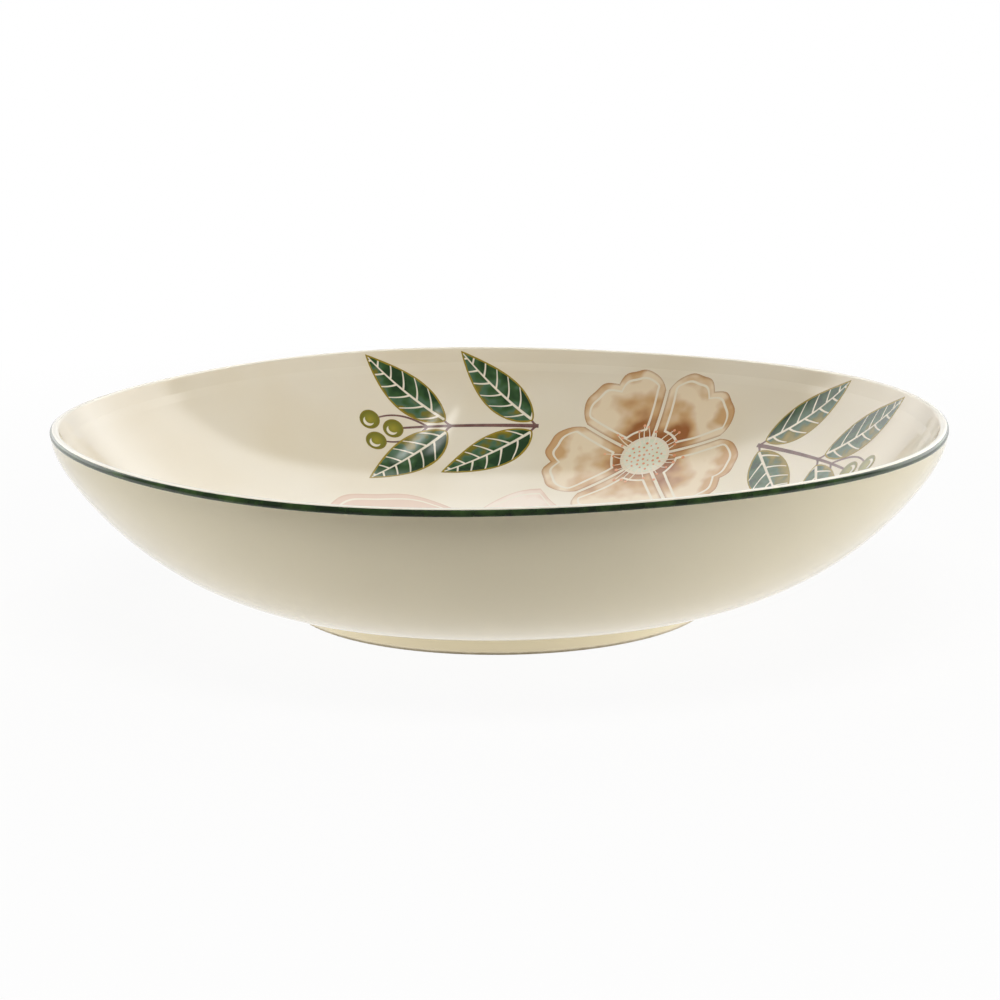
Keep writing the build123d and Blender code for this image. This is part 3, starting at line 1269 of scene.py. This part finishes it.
    def dress(self, solids: dict[str, Solid], inks: dict[str, bpy.types.Material], slot: Slot) -> None:
        """Prints the layers. The petals and the heart stand for the CAD nodes of those names.

        Args:
            solids: What build made.
            inks: The print's finishes.
            slot: The slot of its petals.
        """
        make_piece(
            f"{self.name}_petal_print", solids["petals"], inks[slot.value], slot, (f"{self.name}_petals",)
        )
        make_piece(
            f"{self.name}_heart_print", solids["heart"], inks["heart"], Slot.HEART, (f"{self.name}_heart",)
        )
        make_piece(f"{self.name}_filaments", solids["filaments"], inks["filament"], Slot.HEART)
        make_piece(f"{self.name}_anthers", solids["anthers"], inks["anther"], Slot.HEART)


@dataclass(frozen=True)
class Sprig:
    """A stem that runs round the wall, with pairs of lance-shaped leaves, and three berries.

    Its sizes are in millimetres along the glaze."""

    name: str
    start: float  # the bearing that it starts from
    direction: int  # 1 or -1 round the bowl
    outer_reach: float  # how far from the middle of the well its leaves come
    gap: float = 3.0  # between its pairs of leaves, and half of it between its berries
    leaf_pairs: int = 2
    leaf_length: float = 44.0
    leaf_width: float = 17.0
    leaf_angle: float = radians(38.0)
    leaf_end: float = 0.03  # half the width that is left at a leaf's foot and tip
    leaf_stalk: float = 2.6
    stem_width: float = 1.6
    stem_taper: tuple[float, float] = (1.15, 0.6)  # shares of its width at its start and its end
    stem_tail: float = 17.0  # from its last leaves to where the berries' gap starts
    stem_stop: float = 0.9  # how far it ends from its berry's middle, in the berry's radii
    berry_radius: float = 4.4
    stalk_bend: tuple[float, float] = (3.2, 0.8)  # how far before its leaf a stalk starts and bends
    stalk_end: float = 1.2  # how far it runs into the leaf
    stalk_width: tuple[float, float] = (1.1, 0.9)
    fork: float = 9.0  # how far before that gap the outer berries' stalks leave the stem
    fork_bend: tuple[float, float] = (5.0, 8.6)  # where they bend, before and beside the first berry
    fork_stop: float = 0.8  # how far they end before their berries' middles, in the berries' radii
    fork_aside: float = 1.1  # and how far aside, as a share of their berries' own way aside
    fork_width: tuple[float, float] = (1.0, 0.7)

    @property
    def leaf_spread(self) -> float:
        """How far a leaf's tip stands aside from the stem."""
        return self.leaf_stalk + self.leaf_length * sin(self.leaf_angle)

    @property
    def stem_reach(self) -> float:
        """How far the stem is from the middle of the well."""
        return self.outer_reach - self.leaf_spread

    @property
    def leaf_stations(self) -> list[float]:
        """How far along the stem each pair of leaves stands, with the gap kept between two pairs.

        Returns:
            Millimetres from the stem's start.
        """
        step = (self.leaf_width + self.gap) / sin(self.leaf_angle)
        step = step * self.stem_reach / (self.stem_reach - self.leaf_spread / 2)
        return [self.leaf_stalk + step * n for n in range(self.leaf_pairs)]

    @property
    def stem_length(self) -> float:
        """How far along the stem the berries' gap starts."""
        return self.leaf_stations[-1] + self.stem_tail

    @property
    def berry_spots(self) -> list[tuple[float, float]]:
        """The berries' ways along the stem and aside: one on its line and two beyond it, in a triangle.

        Returns:
            Two numbers for each berry, in millimetres.
        """
        first = self.stem_length + self.gap / 2 + self.berry_radius
        step = 2 * self.berry_radius + self.gap / 2
        return [(first, 0.0)] + [(first + step * cos(pi / 6), side * step / 2) for side in (1, -1)]

    @property
    def length(self) -> float:
        """How far the sprig reaches along its stem: to its last berries or its leaves' tips.

        Returns:
            Millimetres along the stem.
        """
        run_on = self.leaf_length * cos(self.leaf_angle)
        run_on *= self.stem_reach / (self.stem_reach - self.leaf_spread)
        return max(self.berry_spots[-1][0] + self.berry_radius, self.leaf_stations[-1] + run_on)

    def place(self, station: float, aside: float = 0.0, turn: float = 0.0) -> Place:
        """A spot beside the stem, aside towards the lip, that points along it but for a turn."""
        bearing = self.start + self.direction * station / self.stem_reach
        return Place(self.stem_reach + aside, bearing, bearing + self.direction * (pi / 2 - turn))

    def spot(self, station: float, aside: float = 0.0) -> Array:
        """A flat point at a distance along the stem and aside from it."""
        return self.place(station, aside).flat(0.0, 0.0)

    def leaf_place(self, station: float, side: int) -> Place:
        """Where a leaf starts on its side of the stem."""
        return self.place(station, side * self.leaf_stalk, side * self.leaf_angle)

    def leaf(self, station: float, side: int, rng: np.random.Generator) -> Sheet:
        """A leaf on a grid: half its width at a share t of its length is w / 2 · sin(π t^0.75)^0.9.

        Its margin is the way in from its edge, taken square to the edge's slope.

        Args:
            station: How far along the stem it stands.
            side: 1 for the side towards the lip and -1 for the other.
            rng: Where its chance comes from.

        Returns:
            Its sheet, with the values that its print reads.
        """
        share = (1 - np.cos(pi * np.linspace(0, 1, 60))) / 2
        half = self.leaf_width / 2 * np.sin(pi * share**0.75).clip(0) ** 0.9
        half = np.maximum(half, self.leaf_end)
        slope = np.gradient(half, share * self.leaf_length)
        across = half[:, None] * np.linspace(-1, 1, 17)[None, :]
        along = share[:, None] * self.leaf_length
        return grid_sheet(
            self.leaf_place(station, side).flat(along, across),
            along=along,
            across=across * side * self.direction,
            margin=(half[:, None] - abs(across)) / np.hypot(1, slope)[:, None],
            tone=np.full((1, 1), rng.uniform(-1, 1)),
        )

    def stem(self) -> list[Sheet]:
        """The stem, the stalks of its leaves and the stalks of its outer berries.

        Returns:
            A sheet for each.
        """
        (first, _), (last, aside), _ = self.berry_spots
        stations = np.linspace(0, first - self.berry_radius * self.stem_stop, 40)
        path = np.array([self.spot(station) for station in stations])
        sheets = [ribbon(path, self.stem_width * np.linspace(*self.stem_taper, 40))]
        for station in self.leaf_stations:
            foot, bend = (station - back for back in self.stalk_bend)
            if foot < 0:  # too near the stem's own start
                foot, bend = 0.2, station * 0.6
            for side in (1, -1):
                end = self.leaf_place(station, side).flat(self.stalk_end, 0.0)
                stalk = curve(self.spot(foot), self.spot(bend), end, 10)
                sheets.append(ribbon(stalk, np.linspace(*self.stalk_width, 10)))
        for side in (1, -1):
            stalk = curve(
                self.spot(self.stem_length - self.fork),
                self.spot(first - self.fork_bend[0], side * self.fork_bend[1]),
                self.spot(last - self.berry_radius * self.fork_stop, side * aside * self.fork_aside),
                24,
            )
            sheets.append(ribbon(stalk, np.linspace(*self.fork_width, 24)))
        return sheets

    def build(self, shape: BowlShape, rng: np.random.Generator) -> dict[str, Solid]:
        """The stem, the leaves and the berries.

        Args:
            shape: The bowl.
            rng: Where its chance comes from.

        Returns:
            The films, by layer.
        """
        leaves = [self.leaf(station, side, rng) for station in self.leaf_stations for side in (1, -1)]
        berries = [disc_sheet(self.place(*spot), self.berry_radius, 8, 48) for spot in self.berry_spots]
        return layered(shape, {"stem": self.stem(), "leaves": leaves, "berries": berries})

    def dress(self, solids: dict[str, Solid], inks: dict[str, bpy.types.Material]) -> None:
        """Prints the three layers, each of which stands for the CAD node of its name."""
        for layer, slot in (("stem", Slot.STEM), ("leaves", Slot.LEAF), ("berries", Slot.BERRY)):
            piece = f"{self.name}_{layer}"
            make_piece(f"{piece}_print", solids[layer], inks[slot.value], slot, (piece,))


@dataclass(frozen=True)
class Garland:
    """A crescent of three blossoms, each smaller than the one before, between four sprigs, and a
    pale blossom that fills the well. All sizes are in millimetres along the glaze."""

    shape: BowlShape
    rim_margin: float = 4.0
    motif_gap: float = 3.0
    first_bearing: float = radians(62.0)
    blossom_radii: tuple[float, ...] = (42.0, 36.0, 30.0)
    heart_share: float = 0.21
    well_heart: float = 16.0

    def layout(self) -> tuple[list[Blossom], list[Sprig]]:
        """The blossoms and sprigs, each placed where the one before it ends.

        Returns:
            The blossoms, with the well's last, and the sprigs.
        """
        outer_reach = self.shape.rim_reach - self.rim_margin
        reach = outer_reach - self.blossom_radii[0]
        spans = [np.arcsin((radius + self.motif_gap) / reach) for radius in self.blossom_radii]
        sprigs = [Sprig("sprig_1", self.first_bearing + spans[0], 1, outer_reach, self.motif_gap)]
        blossoms, bearing = [], self.first_bearing
        for n, (radius, span) in enumerate(zip(self.blossom_radii, spans)):
            place = Place(reach, bearing, bearing + (n + 1) * pi / Blossom.petals)
            blossoms.append(Blossom(f"blossom_{n + 1}", place, radius, radius * self.heart_share))
            sprigs.append(Sprig(f"sprig_{n + 2}", bearing - span, -1, outer_reach, self.motif_gap))
            following = spans[min(n + 1, len(spans) - 1)]
            bearing -= span + sprigs[-1].length / sprigs[-1].stem_reach + following
        well_reach = sprigs[0].stem_reach - sprigs[0].leaf_spread - self.motif_gap
        well_blossom = Blossom(
            "well_blossom",
            Place(0.0, 0.0, self.first_bearing),
            well_reach,
            self.well_heart,
            rows=64,
            columns=61,
            anthers=60,
            filaments=40,
            shelters=tuple((blossom.place, blossom.radius + self.motif_gap / 2) for blossom in blossoms),
        )
        return [*blossoms, well_blossom], sprigs

    def inks(self) -> dict[str, bpy.types.Material]:
        """The print's finishes by slot, and the three inks that share the heart's slot.

        Returns:
            Materials by the name of their slot or ink.
        """
        blush = {"pale": "#EEDFCD", "tint": "#E0C5AE", "deep": "#D0A787", "patch_length": 24.0}
        finishes = {
            Slot.TAN.value: PetalWash("tan_petal_print"),
            Slot.BLUSH.value: PetalWash("blush_petal_print", **blush),
            Slot.LEAF.value: LeafPrint("leaf_print"),
            Slot.BERRY.value: BerryPrint("berry_print", radius=Sprig.berry_radius),
            Slot.STEM.value: Mottled("stem_print"),
            "heart": Mottled("heart_print", main="#DDE0C6", patch="#E8E6D4"),
            "filament": Mottled("filament_print", main="#F1EAD6", patch="#EBDDC0"),
            "anther": Mottled("anther_print", main="#DE9468", patch="#E9B48C"),
        }
        return {name: finish.material() for name, finish in finishes.items()}

    def build(self) -> list[tuple[Blossom | Sprig, dict[str, Solid]]]:
        """Every motif with its layers.

        Returns:
            The motifs, each with its films by layer.
        """
        rng = np.random.default_rng(SEED)
        blossoms, sprigs = self.layout()
        return [(motif, motif.build(self.shape, rng)) for motif in (*blossoms, *sprigs)]

    def dress(self, motifs: list[tuple[Blossom | Sprig, dict[str, Solid]]]) -> None:
        """Prints every motif."""
        inks = self.inks()
        for motif, solids in motifs:
            if isinstance(motif, Sprig):
                motif.dress(solids, inks)
            else:
                motif.dress(solids, inks, Slot.BLUSH if motif.shelters else Slot.TAN)


# ---- The studio ----
def aimed(place: tuple[float, float, float], aim: tuple[float, float, float]) -> Quaternion:
    """The turn that points a lamp or a camera from its place at its aim."""
    return (Vector(aim) - Vector(place)).to_track_quat("-Z", "Y")


@dataclass(frozen=True)
class Softbox:
    """A soft lamp with rounded corners that fades towards its edges, in metres. No camera sees it."""

    name: str
    place: tuple[float, float, float]
    width: float
    length: float
    level: float  # its brightness, where white paper under plain light is 1
    aim: tuple[float, float, float] = (0.0, 0.0, 0.03)
    reflected: bool = False  # whether a gloss mirrors it
    fade: float = 0.35  # the share of the way in from its edge over which it brightens
    roundness: float = 3.0  # 2 is an ellipse, and more has sharper corners

    def build(self) -> None:
        """Hangs the lamp, turned to face its aim. Its power is pi times its area and its level."""
        lamp = bpy.data.lights.new(self.name, "AREA")
        lamp.shape, lamp.size, lamp.size_y = "RECTANGLE", self.width, self.length
        lamp.energy = pi * self.width * self.length * self.level
        self.soften(lamp)
        holder = bpy.data.objects.new(self.name, lamp)
        holder.location, holder.rotation_euler = self.place, aimed(self.place, self.aim).to_euler()
        holder.visible_camera, holder.visible_glossy = False, self.reflected
        bpy.context.scene.collection.objects.link(holder)

    def soften(self, lamp: bpy.types.Light) -> None:
        """Fades the lamp's light to nothing at its edge.

        With x and y from -1 to 1 across the lamp and n its roundness, the way in from the edge is
        1 - (|x|^n + |y|^n)^(1/n).

        Args:
            lamp: The lamp.
        """
        lamp.use_nodes = True
        tree = lamp.node_tree
        spot = add(tree, "NewGeometry", out="Parametric")
        powers = []
        for axis in "XY":
            way = add(tree, "SeparateXYZ", {"Vector": spot}, out=axis)
            off = add(tree, "Math", {0: way, 1: 2.0, 2: -1.0}, operation="MULTIPLY_ADD")
            off = add(tree, "Math", {0: off}, operation="ABSOLUTE")
            powers.append(add(tree, "Math", {0: off, 1: self.roundness}, operation="POWER"))
        out = add(tree, "Math", {0: powers[0], 1: powers[1]})
        out = add(tree, "Math", {0: out, 1: 1 / self.roundness}, operation="POWER")
        fall = {"Value": out, "From Min": 1.0, "From Max": 1 - self.fade}
        share = add(tree, "MapRange", fall, interpolation_type="SMOOTHSTEP")
        tree.links.new(share, tree.nodes["Emission"].inputs["Strength"])


@dataclass(frozen=True)
class Studio:
    """A plain pale table under soft lamps, and the camera, in metres.

    To the eye the room and the far table are white. In a gloss they are dim on the camera's side and
    bright on the other, where lit white stands round the table."""

    floor_size: float = 60.0
    floor_colour: str = "#DDDBD7"
    floor_roughness: float = 0.9
    shadow_share: float = 0.06  # how much of the floor's look is its own light and shade by the bowl
    shadow_reach: tuple[float, float] = (0.2, 0.6)  # from the axis, where that starts and ends to fade
    room_level: float = 0.01  # of the plain light that the room itself throws on the bowl
    dim_side: float = 0.2  # how bright the room's dim side looks in a gloss
    bright_side: float = 2.2  # and its bright side
    backdrop: float = 1.2  # and the middle of that side, straight behind the bowl
    room_turn: tuple[float, float] = (0.29, 0.42)  # the Y of the ways between which the room brightens
    backdrop_turn: tuple[float, float] = (0.86, 0.95)  # and of those between which the backdrop starts
    table_turn: tuple[float, float] = (-0.25, -0.12)  # the Y of the spots between which the table does
    camera_place: tuple[float, float, float] = (0.0, -0.8193, 0.2122)
    camera_aim: tuple[float, float, float] = (0.0, 0.0, 0.0353)
    camera_roll: float = radians(-0.5)
    lens: float = 86.86  # millimetres, on a sensor of sensor_width
    sensor_width: float = 36.0

    def softboxes(self) -> list[Softbox]:
        """Two lamps over the bowl, a fill and a low card on each side, the glow of the table round its
        foot, and two thin tubes overhead, which the glaze mirrors as a curved streak."""
        return [
            Softbox("front_ceiling", (0.0, -0.4, 1.3), 1.2, 0.6, 8.5),
            Softbox("back_ceiling", (0.0, 0.8, 1.2), 1.8, 0.95, 1.3, aim=(0.0, 0.8, 0.0)),
            Softbox("left_fill", (-1.3, -0.1, 0.35), 0.6, 0.6, 1.9),
            Softbox("right_fill", (1.3, -0.1, 0.35), 0.6, 0.6, 7.9),
            Softbox("left_card", (-0.5, -0.1, 0.05), 0.6, 0.1, 5.0, aim=(0.0, -0.1, 0.05)),
            Softbox("right_card", (0.5, -0.1, 0.05), 0.6, 0.1, 3.9, aim=(0.0, -0.1, 0.05)),
            Softbox("table_glow", (0.0, 0.0, 0.0006), 0.31, 0.31, 0.47, aim=(0.0, 0.0, 1.0)),
            Softbox("left_tube", (0.15, 0.02, 1.0), 0.03, 0.55, 4.0, (0.15, 0.02, 0.0), reflected=True),
            Softbox("right_tube", (0.2, 0.07, 1.0), 0.03, 0.65, 5.0, (0.2, 0.07, 0.0), reflected=True),
        ]

    def seen(self, tree: Tree) -> Socket:
        """1 where a camera looks straight at a surface or by a mirror or glass, and 0 for its light.

        Args:
            tree: The nodes of the room or of the table.

        Returns:
            The share.
        """
        rays = (f"Is {kind} Ray" for kind in ("Camera", "Glossy", "Transmission"))
        seen, *mirrored = (add(tree, "LightPath", out=ray) for ray in rays)
        for ray in mirrored:
            seen = add(tree, "Math", {0: seen, 1: ray}, operation="MAXIMUM")
        return seen

    def look(self, tree: Tree, way: Socket, turn: tuple[float, float], bright: Socket | float) -> Socket:
        """How bright the room looks along a way: white, but in a gloss dim on the camera's side.

        Args:
            tree: The nodes of the room or of the table.
            way: The way looked in, or the spot looked at.
            turn: The values of its Y between which the room brightens.
            bright: How bright it is in a gloss on the other side.

        Returns:
            The strength of its light.
        """
        ahead = add(tree, "SeparateXYZ", {"Vector": way}, out="Y")
        rise = {"Value": ahead, "From Min": turn[0], "From Max": turn[1], "To Min": self.dim_side}
        side = add(tree, "MapRange", {**rise, "To Max": bright}, interpolation_type="SMOOTHSTEP")
        looked_at = add(tree, "LightPath", out="Is Camera Ray")
        return add(tree, "Mix", {"Factor": looked_at, "A": side, "B": 1.0}, data_type="FLOAT")

    def build_room(self) -> None:
        """The room: its look, and a plain faint light on the bowl."""
        world = bpy.data.worlds.new("pale_room")
        world.use_nodes = True
        bpy.context.scene.world = world
        tree = world.node_tree
        light = tree.nodes["Background"]
        light.inputs["Strength"].default_value = self.room_level
        light.inputs["Color"].default_value = linear(WHITE)
        way = add(tree, "TexCoord", out="Generated")
        ahead = add(tree, "SeparateXYZ", {"Vector": way}, out="Y")
        fall = {"Value": ahead, "From Min": self.backdrop_turn[0], "From Max": self.backdrop_turn[1]}
        bright = add(tree, "MapRange", {**fall, "To Min": self.bright_side, "To Max": self.backdrop})
        level = self.look(tree, way, self.room_turn, bright)
        white = add(tree, "Background", {"Color": WHITE, "Strength": level})
        mixed = add(tree, "MixShader", {0: self.seen(tree), 1: light.outputs[0], 2: white})
        tree.links.new(mixed, tree.nodes["World Output"].inputs["Surface"])

    def build_floor(self) -> None:
        """A matt pale table that looks near white and keeps the bowl's shadow."""
        half = self.floor_size / 2
        mesh = bpy.data.meshes.new("table")
        corners = [(-half, -half, 0), (half, -half, 0), (half, half, 0), (-half, half, 0)]
        mesh.from_pydata(corners, [], [(0, 1, 2, 3)])
        made = bpy.data.materials.new("pale_table")
        made.use_nodes = True
        tree = made.node_tree
        matt = tree.nodes["Principled BSDF"]
        matt.inputs["Base Color"].default_value = linear(self.floor_colour)
        matt.inputs["Roughness"].default_value = self.floor_roughness
        spot = add(tree, "TexCoord", out="Object")
        level = self.look(tree, spot, self.table_turn, 1.0)
        white = add(tree, "Emission", {"Color": WHITE, "Strength": level})
        far = {"Value": add(tree, "VectorMath", {0: spot}, operation="LENGTH")}
        far.update({"From Min": self.shadow_reach[0], "From Max": self.shadow_reach[1]})
        share = add(tree, "MapRange", {**far, "To Min": 1 - self.shadow_share})
        share = add(tree, "Math", {0: share, 1: self.seen(tree)}, operation="MULTIPLY")
        mixed = add(tree, "MixShader", {0: share, 1: matt.outputs[0], 2: white})
        tree.links.new(mixed, tree.nodes["Material Output"].inputs["Surface"])
        mesh.materials.append(made)
        floor = bpy.data.objects.new("table", mesh)
        bpy.context.scene.collection.objects.link(floor)

    def build_camera(self) -> None:
        """A camera aimed at the bowl, rolled a little about its own axis."""
        lens = bpy.data.cameras.new("camera")
        lens.lens, lens.sensor_width = self.lens, self.sensor_width
        camera = bpy.data.objects.new("camera", lens)
        camera.location = self.camera_place
        turn = aimed(self.camera_place, self.camera_aim) @ Quaternion((0.0, 0.0, 1.0), self.camera_roll)
        camera.rotation_euler = turn.to_euler()
        bpy.context.scene.collection.objects.link(camera)
        bpy.context.scene.camera = camera

    def build(self) -> None:
        """Sets up the room, the table, the lamps and the camera."""
        self.build_room()
        self.build_floor()
        for softbox in self.softboxes():
            softbox.build()
        self.build_camera()
        bpy.context.scene.view_settings.view_transform = "Standard"


def main() -> None:
    """Builds the bowl, its line, its decoration and the studio, in that order."""
    logging.basicConfig(level=logging.INFO, format="%(message)s")
    shape = BowlShape.from_frame()
    wares, line, garland = Wares(shape), LipLine(shape), Garland(shape)
    wares.dress(wares.build())
    line.dress(line.build())
    garland.dress(garland.build())
    Studio().build()
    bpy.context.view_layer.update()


if __name__ == "__main__":
    main()
